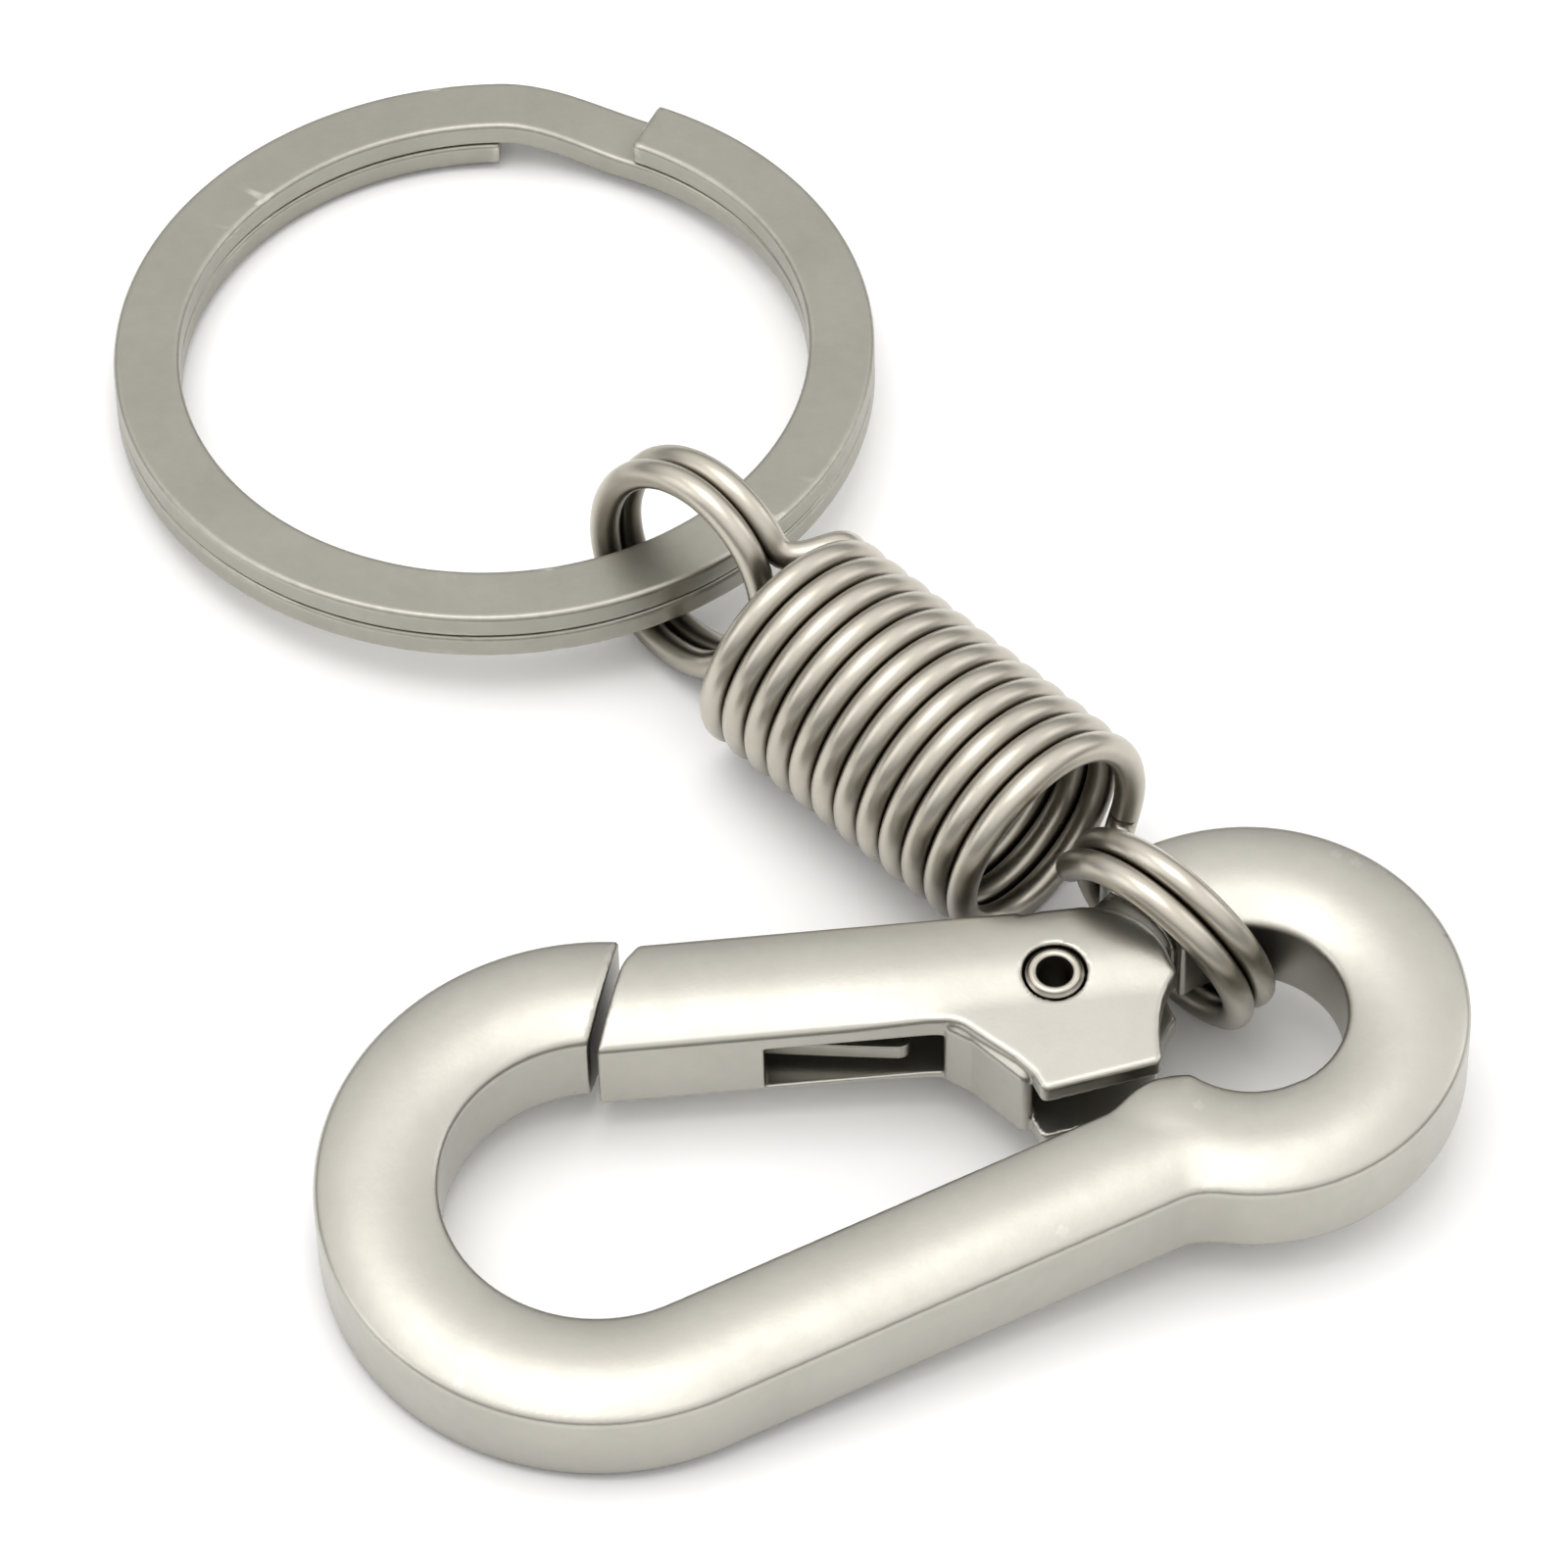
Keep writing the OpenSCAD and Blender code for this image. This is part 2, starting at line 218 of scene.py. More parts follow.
def eased_rectangle(width: float, height: float, radius: float, steps: int = 5) -> Array:
    """A rectangle about the origin with quarter-circle corners.

    A corner's points are its centre plus radius (cos a, sin a). Each straight side has a point near both its
    ends and one halfway, which keeps the bands of edge abrasion and painted edge highlight narrow.
    """
    a = np.linspace(0, np.pi / 2, steps)
    runs = []
    for k, (cx, cy) in enumerate([(width, height), (0, height), (0, 0), (width, 0)]):
        inset = np.array([cx - radius if cx else radius, cy - radius if cy else radius])
        turn = a + k * np.pi / 2
        runs.append(inset + radius * np.stack([np.cos(turn), np.sin(turn)], -1))
    outline = []
    for run, after in zip(runs, runs[1:] + runs[:1]):
        gap = after[0] - run[-1]
        near = min(EDGE_BAND / np.linalg.norm(gap), 0.3)
        share = np.array([near, 0.5, 1 - near])[:, None]
        outline += [run, run[-1] + share * gap]
    return np.vstack(outline) - np.array([width, height]) / 2


# ---------------------------------------------------------------- solids by distance


def smooth_max(a: Array, b: Array, k: float) -> Array:
    """The larger of two distances, with a round of about radius k where they meet."""
    h = np.maximum(k - np.abs(a - b), 0) / k
    return np.maximum(a, b) + h * h * k / 4


def smooth_min(a: Array, b: Array, k: float) -> Array:
    """The smaller of two distances, with a fillet of about radius k where they meet."""
    return -smooth_max(-a, -b, k)


def to_arc(x: Array, y: Array, radius: float, start: float, sweep_angle: float) -> Array:
    """Distance in the plan to an arc about the origin: to its circle beside it, or to an end past it."""
    half = math.radians(sweep_angle / 2)
    mid = math.radians(start) + half
    xr, yr = x * math.cos(mid) + y * math.sin(mid), np.abs(y * math.cos(mid) - x * math.sin(mid))
    beside = np.abs(np.hypot(xr, yr) - radius)
    past = np.hypot(xr - radius * math.cos(half), yr - radius * math.sin(half))
    return np.where(np.arctan2(yr, xr) <= half, beside, past)


def to_segment(x: Array, y: Array, a: Array, b: Array) -> Array:
    """Distance in the plan to the straight line from a to b."""
    d = b - a
    t = np.clip(((x - a[0]) * d[0] + (y - a[1]) * d[1]) / (d @ d), 0, 1)
    return np.hypot(x - a[0] - t * d[0], y - a[1] - t * d[1])


def to_outline(x: Array, y: Array, outline: Array) -> Array:
    """Signed distance in the plan to a closed outline, negative inside: least distance to its sides, with the
    sign from the count of sides crossed."""
    nearest = np.full(x.shape, np.inf)
    inside = np.zeros(x.shape, bool)
    for a, b in zip(outline, np.roll(outline, -1, 0)):
        nearest = np.minimum(nearest, to_segment(x, y, a, b))
        crosses = (a[1] > y) != (b[1] > y)
        at = (b[0] - a[0]) * (y - a[1]) / (b[1] - a[1] if b[1] != a[1] else 1e-12) + a[0]
        inside ^= crosses & (x < at)
    return np.where(inside, -nearest, nearest)


def smooth_step(t: Array) -> Array:
    """0 below 0, 1 above 1, and 3 t^2 - 2 t^3 between."""
    t = np.clip(t, 0, 1)
    return t * t * (3 - 2 * t)


def between(z: Array, low: float, high: float) -> Array:
    """Signed distance to the slab between two heights."""
    return np.abs(z - (low + high) / 2) - (high - low) / 2


def net(solid: Field, low: Array, high: Array, step: float) -> tuple[Array, Array]:
    """Meshes the surface where a signed distance is zero.

    One vertex stands in each cell of a regular grid that the surface crosses, at the mean of the crossings
    on the cell's edges, and one quad crosses each grid edge whose ends differ in sign. The vertices are
    then moved onto the surface along its gradient.

    Args:
        solid: the signed distance at points, negative inside.
        low, high: opposite corners of the grid.
        step: the grid's spacing.

    Returns:
        Points and quads, in the solid's own frame.
    """
    axes = [np.arange(a, b + step, step) for a, b in zip(low, high)]
    shape = tuple(len(a) for a in axes)
    at = np.stack(np.meshgrid(*axes, indexing="ij"), -1)
    value = np.concatenate([solid(slab.reshape(-1, 3)).reshape(slab.shape[:-1]) for slab in at[:, None]])
    value = np.where(value == 0, 1e-9, value)
    inside = value < 0
    cells = tuple(n - 1 for n in shape)
    total, count = np.zeros(cells + (3,), np.float32), np.zeros(cells, np.int8)
    quads = []

    def corner(a: Array, offset: tuple[int, ...]) -> Array:
        """The samples at one corner of every cell."""
        return a[tuple(slice(o, o + c) for o, c in zip(offset, cells))]

    for axis in range(3):
        others = [k for k in range(3) if k != axis]
        for p in (0, 1):
            for q in (0, 1):
                start = [0, 0, 0]
                start[others[0]], start[others[1]] = p, q
                end = list(start)
                end[axis] = 1
                va, vb = corner(value, tuple(start)), corner(value, tuple(end))
                cut = (va < 0) != (vb < 0)
                t = np.where(cut, va / np.where(cut, va - vb, 1), 0)
                total[..., axis] += t
                total[..., others[0]] += cut * p
                total[..., others[1]] += cut * q
                count += cut
    used = count > 0
    number = np.full(cells, -1)
    number[used] = np.arange(used.sum())
    base = np.argwhere(used)
    points = np.array(low) + step * (base + total[used] / count[used][:, None])
    for axis in range(3):
        u, v = (axis + 1) % 3, (axis + 2) % 3
        ahead = [slice(None)] * 3
        ahead[axis] = slice(1, None)
        back = [slice(None)] * 3
        back[axis] = slice(None, -1)
        change = inside[tuple(back)] != inside[tuple(ahead)]
        edge = np.argwhere(change)
        edge = edge[(edge[:, u] > 0) & (edge[:, v] > 0) & (edge[:, u] < cells[u]) & (edge[:, v] < cells[v])]
        leaves = inside[tuple(back)][tuple(edge.T)]
        du, dv = np.eye(3, dtype=int)[u], np.eye(3, dtype=int)[v]
        ring = [number[tuple((edge - o).T)] for o in (du + dv, dv, 0 * du, du)]
        quad = np.stack(ring, -1)
        quads.append(np.where(leaves[:, None], quad, quad[:, ::-1]))
    tiny = step * 0.02
    for _ in range(4):
        slope = np.stack([solid(points + tiny * e) - solid(points - tiny * e) for e in np.eye(3)], -1)
        slope = slope / (2 * tiny)
        move = solid(points)[:, None] * slope / np.maximum((slope**2).sum(-1, keepdims=True), 0.05)
        points = points - np.clip(move, -step / 2, step / 2)
    return points, np.vstack(quads)


# ---------------------------------------------------------------- finishes


def group_socket(tree: bpy.types.NodeTree, name: str, way: str, kind: str,
                 value: float | None = None) -> None:
    """Adds a named socket to a node group."""
    made = tree.interface.new_socket(name=name, in_out=way, socket_type=f"NodeSocket{kind}")
    if value is not None:
        made.default_value = value


def node(tree: bpy.types.NodeTree, kind: str, **settings: object) -> bpy.types.Node:
    """Adds a node, with its plain properties and its inputs by name."""
    made = tree.nodes.new(f"ShaderNode{kind}")
    for key, value in settings.items():
        if hasattr(made, key):
            setattr(made, key, value)
        else:
            made.inputs[key.replace("_", " ").title()].default_value = value
    return made


def mottle_group() -> bpy.types.NodeTree:
    """Soft uneven patches: two sizes of noise, mixed, between 0 and 1."""
    tree = bpy.data.node_groups.new("mottle", "ShaderNodeTree")
    group_socket(tree, "Vector", "INPUT", "Vector")
    group_socket(tree, "Scale", "INPUT", "Float", 200.0)
    group_socket(tree, "Contrast", "INPUT", "Float", 1.0)
    group_socket(tree, "Mask", "OUTPUT", "Float")
    enter, leave = tree.nodes.new("NodeGroupInput"), tree.nodes.new("NodeGroupOutput")
    broad = node(tree, "TexNoise", detail=3.0, roughness=0.55)
    fine = node(tree, "TexNoise", detail=6.0, roughness=0.65)
    finer = node(tree, "Math", operation="MULTIPLY")
    finer.inputs[1].default_value = 6.5
    mix = node(tree, "Mix", data_type="FLOAT")
    mix.inputs[0].default_value = 0.4
    spread = node(tree, "Math", operation="MULTIPLY_ADD", use_clamp=True)
    centre = node(tree, "Math", operation="SUBTRACT")
    centre.inputs[1].default_value = 0.5
    spread.inputs[2].default_value = 0.5
    link = tree.links.new
    link(enter.outputs["Vector"], broad.inputs["Vector"])
    link(enter.outputs["Vector"], fine.inputs["Vector"])
    link(enter.outputs["Scale"], broad.inputs["Scale"])
    link(enter.outputs["Scale"], finer.inputs[0])
    link(finer.outputs[0], fine.inputs["Scale"])
    link(broad.outputs["Fac"], mix.inputs[2])
    link(fine.outputs["Fac"], mix.inputs[3])
    link(mix.outputs[0], centre.inputs[0])
    link(centre.outputs[0], spread.inputs[0])
    link(enter.outputs["Contrast"], spread.inputs[1])
    link(spread.outputs[0], leave.inputs["Mask"])
    return tree


def wear_highlight_group() -> bpy.types.NodeTree:
    """Edge abrasion and painted edge highlight: a mask that is 1 on raised edges, broken up by fine noise."""
    tree = bpy.data.node_groups.new("edge_wear_and_highlight", "ShaderNodeTree")
    group_socket(tree, "Vector", "INPUT", "Vector")
    group_socket(tree, "Low", "INPUT", "Float", 0.51)
    group_socket(tree, "High", "INPUT", "Float", 0.56)
    group_socket(tree, "Mask", "OUTPUT", "Float")
    enter, leave = tree.nodes.new("NodeGroupInput"), tree.nodes.new("NodeGroupOutput")
    shape = node(tree, "NewGeometry")
    band = node(tree, "MapRange", clamp=True)
    breakup_noise = node(tree, "TexNoise", scale=2600.0, detail=4.0)
    rough = node(tree, "MapRange", clamp=True)
    rough.inputs["From Min"].default_value = 0.3
    rough.inputs["From Max"].default_value = 0.6
    rough.inputs["To Min"].default_value = 0.45
    both = node(tree, "Math", operation="MULTIPLY")
    link = tree.links.new
    link(shape.outputs["Pointiness"], band.inputs["Value"])
    link(enter.outputs["Low"], band.inputs["From Min"])
    link(enter.outputs["High"], band.inputs["From Max"])
    link(enter.outputs["Vector"], breakup_noise.inputs["Vector"])
    link(breakup_noise.outputs["Fac"], rough.inputs["Value"])
    link(band.outputs["Result"], both.inputs[0])
    link(rough.outputs["Result"], both.inputs[1])
    link(both.outputs[0], leave.inputs["Mask"])
    return tree


def pit_group() -> bpy.types.NodeTree:
    """Pits: 1 inside a few small round cells of a loose pattern, 0 elsewhere."""
    tree = bpy.data.node_groups.new("pits", "ShaderNodeTree")
    group_socket(tree, "Vector", "INPUT", "Vector")
    group_socket(tree, "Scale", "INPUT", "Float", 150.0)
    group_socket(tree, "Size", "INPUT", "Float", 0.05)
    group_socket(tree, "Mask", "OUTPUT", "Float")
    enter, leave = tree.nodes.new("NodeGroupInput"), tree.nodes.new("NodeGroupOutput")
    cells = node(tree, "TexVoronoi")
    hole = node(tree, "MapRange", clamp=True)
    hole.inputs["From Min"].default_value = 0.0
    hole.inputs["To Min"].default_value = 1.0
    hole.inputs["To Max"].default_value = 0.0
    link = tree.links.new
    link(enter.outputs["Vector"], cells.inputs["Vector"])
    link(enter.outputs["Scale"], cells.inputs["Scale"])
    link(cells.outputs["Distance"], hole.inputs["Value"])
    link(enter.outputs["Size"], hole.inputs["From Max"])
    link(hole.outputs["Result"], leave.inputs["Mask"])
    return tree


def crease_shade_group() -> bpy.types.NodeTree:
    """Painted shade in creases: 1 in tight gaps and hollows, where the ambient light is blocked, falling to 0
    on open surfaces.
    """
    tree = bpy.data.node_groups.new("creases", "ShaderNodeTree")
    group_socket(tree, "Reach", "INPUT", "Float", 0.0015)
    group_socket(tree, "Mask", "OUTPUT", "Float")
    enter, leave = tree.nodes.new("NodeGroupInput"), tree.nodes.new("NodeGroupOutput")
    open_sky = node(tree, "AmbientOcclusion", samples=6)
    band = node(tree, "MapRange", clamp=True)
    band.inputs["From Min"].default_value = 0.75
    band.inputs["From Max"].default_value = 0.15
    tree.links.new(enter.outputs["Reach"], open_sky.inputs["Distance"])
    tree.links.new(open_sky.outputs["AO"], band.inputs["Value"])
    tree.links.new(band.outputs["Result"], leave.inputs["Mask"])
    return tree


@dataclass(frozen=True)
class Metal:
    """A plated or bare metal finish.

    Args:
        name: the material's name.
        light: base colour of its brighter patches, linear.
        dark: base colour of its duller patches, linear.
        bright_edge: base colour of the raised edges, linear: partly edge abrasion, partly painted highlight.
        smooth, rough: roughness of the brighter and duller patches.
        grain_scale, grain_height: size of the surface's grain, per metre, and its height in metres.
        pit_scale, pit_size: how many pits there are, and how large.
        streaks: stretch of the grain along the texture coordinate, or 0 to use the object's own coordinates.
        wear_and_highlight: how much of the edge colour shows, as edge abrasion and painted highlight.
        crease_shade: how much painted shade darkens the creases.
        reach: how far, in metres, a surface can stand off and still cast painted shade into a crease.
    """

    name: str
    light: tuple[float, float, float]
    dark: tuple[float, float, float]
    bright_edge: tuple[float, float, float]
    smooth: float
    rough: float
    grain_scale: float
    grain_height: float
    pit_scale: float = 160.0
    pit_size: float = 0.03
    streaks: float = 0.0
    wear_and_highlight: float = 0.7
    crease_shade: float = 0.75
    reach: float = 0.0015

    def build(self, groups: dict[str, bpy.types.NodeTree]) -> bpy.types.Material:
        """Makes the node material.

        Args:
            groups: the shared effects, by name.

        Returns:
            The material.
        """
        material = bpy.data.materials.new(self.name)
        material.use_nodes = True
        tree = material.node_tree
        shader = tree.nodes["Principled BSDF"]
        link = tree.links.new
        place = node(tree, "TexCoord")
        grain_map = node(tree, "Mapping")
        grain_from = place.outputs["UV"] if self.streaks else place.outputs["Object"]
        if self.streaks:
            grain_map.inputs["Scale"].default_value = (self.streaks, 9.0, 1.0)
        link(grain_from, grain_map.inputs["Vector"])

        def effect(name: str, **inputs: float) -> bpy.types.Node:
            """Places a shared effect with its own values."""
            made = tree.nodes.new("ShaderNodeGroup")
            made.node_tree = groups[name]
            if "Vector" in made.inputs:
                link(place.outputs["Object"], made.inputs["Vector"])
            for key, value in inputs.items():
                made.inputs[key].default_value = value
            return made

        patches = effect("mottle", Scale=230.0, Contrast=2.2)
        wear_highlight_mask = effect("edge_wear_and_highlight")
        pits = effect("pits", Scale=self.pit_scale, Size=self.pit_size)
        plain = node(tree, "Mix", data_type="RGBA")
        plain.inputs[6].default_value = (*self.dark, 1.0)
        plain.inputs[7].default_value = (*self.light, 1.0)
        edged = node(tree, "Mix", data_type="RGBA")
        edged.inputs[7].default_value = (*self.bright_edge, 1.0)
        pitted = node(tree, "Mix", data_type="RGBA")
        pitted.inputs[7].default_value = (0.05, 0.045, 0.04, 1.0)
        link(patches.outputs["Mask"], plain.inputs[0])
        link(plain.outputs[2], edged.inputs[6])
        # Edge abrasion and painted edge highlight: raised edges are lightened towards bright_edge by the edge
        # mask.
        amount = node(tree, "Math", operation="MULTIPLY")
        amount.inputs[1].default_value = self.wear_and_highlight
        link(wear_highlight_mask.outputs["Mask"], amount.inputs[0])
        link(amount.outputs[0], edged.inputs[0])
        link(edged.outputs[2], pitted.inputs[6])
        link(pits.outputs["Mask"], pitted.inputs[0])
        # Painted shade: gaps, grooves and hollows are darkened towards a near-black brown where an occlusion
        # mask finds them.
        creases = effect("creases", Reach=self.reach)
        shade_amount = node(tree, "Math", operation="MULTIPLY")
        shade_amount.inputs[1].default_value = self.crease_shade
        shaded_colour = node(tree, "Mix", data_type="RGBA")
        shaded_colour.inputs[7].default_value = (0.06, 0.052, 0.042, 1.0)
        link(creases.outputs["Mask"], shade_amount.inputs[0])
        link(shade_amount.outputs[0], shaded_colour.inputs[0])
        link(pitted.outputs[2], shaded_colour.inputs[6])
        link(shaded_colour.outputs[2], shader.inputs["Base Color"])
        gloss = node(tree, "MapRange")
        gloss.inputs["To Min"].default_value = self.rough
        gloss.inputs["To Max"].default_value = self.smooth
        link(patches.outputs["Mask"], gloss.inputs["Value"])
        link(gloss.outputs["Result"], shader.inputs["Roughness"])
        grain = node(tree, "TexNoise", scale=self.grain_scale, detail=5.0, roughness=0.6)
        link(grain_map.outputs["Vector"], grain.inputs["Vector"])
        bump = node(tree, "Bump", strength=1.0, distance=self.grain_height)
        link(grain.outputs["Fac"], bump.inputs["Height"])
        dents = node(tree, "Bump", strength=1.0, distance=0.00002, invert=True)
        link(pits.outputs["Mask"], dents.inputs["Height"])
        link(bump.outputs["Normal"], dents.inputs["Normal"])
        link(dents.outputs["Normal"], shader.inputs["Normal"])
        shader.inputs["Metallic"].default_value = 1.0
        return material


@dataclass(frozen=True)
class Finishes:
    """The finishes of this keyring."""

    hook: Metal = Metal(
        "satin_nickel", light=(0.485, 0.47, 0.425), dark=(0.425, 0.41, 0.37), bright_edge=(0.62, 0.60, 0.55),
        smooth=0.30, rough=0.37, grain_scale=5200.0, grain_height=0.000004, wear_and_highlight=0.3)
    ring: Metal = Metal(
        "tumbled_pewter", light=(0.37, 0.36, 0.315), dark=(0.315, 0.305, 0.265),
        bright_edge=(0.62, 0.60, 0.54), smooth=0.36, rough=0.44, grain_scale=5600.0, grain_height=0.000005,
        pit_scale=220.0, pit_size=0.015)
    # The coil's grooves take strong, far-reaching painted shade.
    wire: Metal = Metal(
        "satin_wire", light=(0.54, 0.505, 0.44), dark=(0.45, 0.42, 0.36), bright_edge=(0.60, 0.57, 0.51),
        smooth=0.26, rough=0.32, grain_scale=60.0, grain_height=0.000002, pit_scale=260.0, pit_size=0.01,
        streaks=6.0, wear_and_highlight=0.0, crease_shade=0.92, reach=0.0045)
    rivet: Metal = Metal(
        "rivet_tube", light=(0.50, 0.48, 0.43), dark=(0.36, 0.32, 0.26), bright_edge=(0.75, 0.73, 0.67),
        smooth=0.26, rough=0.36, grain_scale=5000.0, grain_height=0.000004)
    leaf: Metal = Metal(
        "spring_strip", light=(0.42, 0.41, 0.37), dark=(0.32, 0.31, 0.27), bright_edge=(0.60, 0.58, 0.54),
        smooth=0.28, rough=0.38, grain_scale=5000.0, grain_height=0.000004)

    def build(self) -> dict[Slot, bpy.types.Material]:
        """Makes every material, with the effects that they share."""
        groups = {"mottle": mottle_group(), "edge_wear_and_highlight": wear_highlight_group(), "pits": pit_group(),
                  "creases": crease_shade_group()}
        return {
            Slot.HOOK: self.hook.build(groups),
            Slot.RING: self.ring.build(groups),
            Slot.WIRE: self.wire.build(groups),
            Slot.RIVET: self.rivet.build(groups),
            Slot.LEAF: self.leaf.build(groups),
        }


def dress(piece: bpy.types.Object, materials: dict[Slot, bpy.types.Material], slot: Slot,
          *nodes: str) -> None:
    """Gives a piece its finish, logs its slot and hides the CAD nodes it stands in for."""
    piece.data.materials.clear()
    piece.data.materials.append(materials[slot])
    if nodes:
        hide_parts(*nodes)
    log.info("%s: %d faces, slot %s", piece.name, len(piece.data.polygons), slot.value)


# ---------------------------------------------------------------- the hook


@dataclass
class Hook:
    """The snap hook: frame, gate, rivet and leaf spring, in the hook's plan frame.

    The eye's centre is the plan's origin, the big end's centre is on -X, and z runs from the underside.

    Args:
        bar, thick, rise: the bar's width and thickness, and how far its faces are domed.
        big_r, eye_r, span: the two openings' radii, and the distance between their centres.
        slope: the spine's angle to the plan's X axis, in degrees.
        heading: the plan's turn in the row frame, in degrees.
        big_start, eye_arc: the big arc's first angle; the eye arc's first angle and sweep.
        spine_short: how far the spine stops short of the eye's centre, along itself.
        pivot, shoulder, boss, tongue_z: the rivet's place, and the frame's cut, boss and tongue round it.
        nose_at, nose_heading, nose_side: a point of the nose's face, its direction, and the X it lies beyond.
        gate_dir, gate_in, gate_out, nose_gap: the gate's direction, its two sides, and its gap at the nose.
        notch_at, notch_dir: the chamfer at the gate's outer corner.
        wall, cheek, drop, slot_end: the gate's outer wall, its cheeks, their set below the faces, and the
            channel's end.
        rivet_r, bore_r, leaf_thick, leaf_width, leaf_z: the rivet tube's and the leaf spring's sizes.
        crease: the round between a domed face and a side wall.
        mesh_step, gate_step: the spacing of the frame's and the gate's meshes.
    """

    bar: float = 4.6
    thick: float = 4.45
    rise: float = 0.45
    big_r: float = 5.9
    eye_r: float = 3.6
    span: float = 25.1
    slope: float = 9.8
    heading: float = 18.7
    big_start: float = 55.0
    eye_arc: tuple[float, float] = (225.0, 265.0)
    spine_short: float = 2.2
    pivot: tuple[float, float] = (-6.48, 3.46)
    shoulder: float = 4.85
    boss: float = 2.0
    tongue_z: tuple[float, float] = (1.15, 3.3)
    nose_at: tuple[float, float] = (-22.8, 7.57)
    nose_heading: float = -30.3
    nose_side: float = -14.0
    gate_dir: float = 168.6
    gate_in: float = 1.6
    gate_out: float = -3.05
    nose_gap: float = 0.4
    notch_at: tuple[float, float] = (15.97, -2.09)
    notch_dir: tuple[float, float] = (0.793, -0.609)
    wall: float = 0.8
    cheek: float = 0.9
    drop: float = 0.15
    slot_end: float = 11.0
    rivet_r: float = 1.0
    bore_r: float = 0.68
    leaf_thick: float = 0.22
    leaf_width: float = 0.75
    leaf_z: float = 1.55
    crease: float = 0.22
    mesh_step: float = 0.15
    gate_step: float = 0.11
    pose: Pose = field(init=False)

    def __post_init__(self) -> None:
        """Finds the hook's frame from the gate's hinge: its axis is the hook's own +Z, through the rivet."""
        turn = tilt_to(joint_axis("gate_hinge")) @ turn_z(self.heading)
        rivet = np.array([*self.pivot, self.thick / 2])
        self.pose = Pose(turn, joint_point("gate_hinge") - turn @ rivet)

    def domed(self, plan: Array, z: Array, half: float) -> Array:
        """Signed distance of a bar with domed faces: the half thickness falls by rise times the square of the
        share of the way from the crown to the edge, and the crease to the side walls is eased."""
        share = np.maximum(1 + plan / half, 0)
        cap = np.abs(z - self.thick / 2) - (self.thick / 2 - self.rise * share**2)
        return smooth_max(plan, 0.94 * cap, self.crease)

    def frame_solid(self, p: Array) -> Array:
        """Signed distance of the frame: big arc, spine and eye in one domed bar, cut, plus the tongue."""
        x, y, z = p.T
        half = self.bar / 2
        big_mid, eye_mid = self.big_r + half, self.eye_r + half
        nose = math.radians(self.nose_heading)
        past_nose = (x - self.nose_at[0]) * math.cos(nose) + (y - self.nose_at[1]) * math.sin(nose)
        arc = to_arc(x + self.span, y, big_mid, self.big_start, 270 - self.big_start + self.slope) - half
        a = math.radians(self.slope)
        foot = np.array([-self.span + big_mid * math.sin(a), -big_mid * math.cos(a)])
        along = np.array([math.cos(a), math.sin(a)])
        spine = to_segment(x, y, foot, foot + along * (self.span * math.cos(a) - self.spine_short)) - half
        eye = to_arc(x, y, eye_mid, *self.eye_arc) - half
        to_pivot = np.hypot(x - self.pivot[0], y - self.pivot[1])
        eye = smooth_max(eye, self.shoulder - to_pivot, 0.3)
        plan = smooth_min(smooth_min(arc, spine, 0.02), eye, 0.55)
        plan = smooth_max(plan, self.eye_r - np.hypot(x, y), 0.15)
        body = self.domed(plan, z, half)
        body = smooth_max(body, np.minimum(np.minimum(past_nose, y), self.nose_side - x), 0.15)
        tongue = to_arc(x, y, eye_mid, 95, 50) - 1.7
        tongue = np.minimum(tongue, to_pivot - self.boss)
        tongue = smooth_max(tongue, between(z, *self.tongue_z), 0.12)
        solid = smooth_min(body, tongue, 0.12)
        return smooth_max(solid, self.rivet_r - to_pivot, 0.05)

    def cheek_outline(self) -> Array:
        """The lobe of a cheek in the gate's frame: straight sides with rounds and hollows between them."""

        def arc(cx: float, cy: float, r: float, start: float, end: float, n: int) -> Array:
            """Points along an arc."""
            t = np.radians(np.linspace(start, end, n))
            return np.stack([cx + r * np.cos(t), cy + r * np.sin(t)], -1)

        return np.vstack([
            [[6, self.gate_in - 0.6], [5.2, self.gate_in - 0.25]], arc(4.75, 3.45, 1.9, 262, 222, 7),
            [[2.75, 2.75], [1.85, 3.6], [1.3, 4.3], [1.05, 4.95], [0.85, 5.08], [-3.4, 4.3], [-3.55, 4.1]],
            [[-3.56, 3.6], [-3.6, 2.9], [-3.7, 2.2], [-3.9, 1.5], [-4.2, 0.9], [-4.55, 0.4]],
            arc(-0.9, 0.4, 3.5, 190, 262, 14),
            [[0.2, self.gate_out + 0.02], [1.6, self.gate_out + 0.3], [6, self.gate_out + 0.6]]])

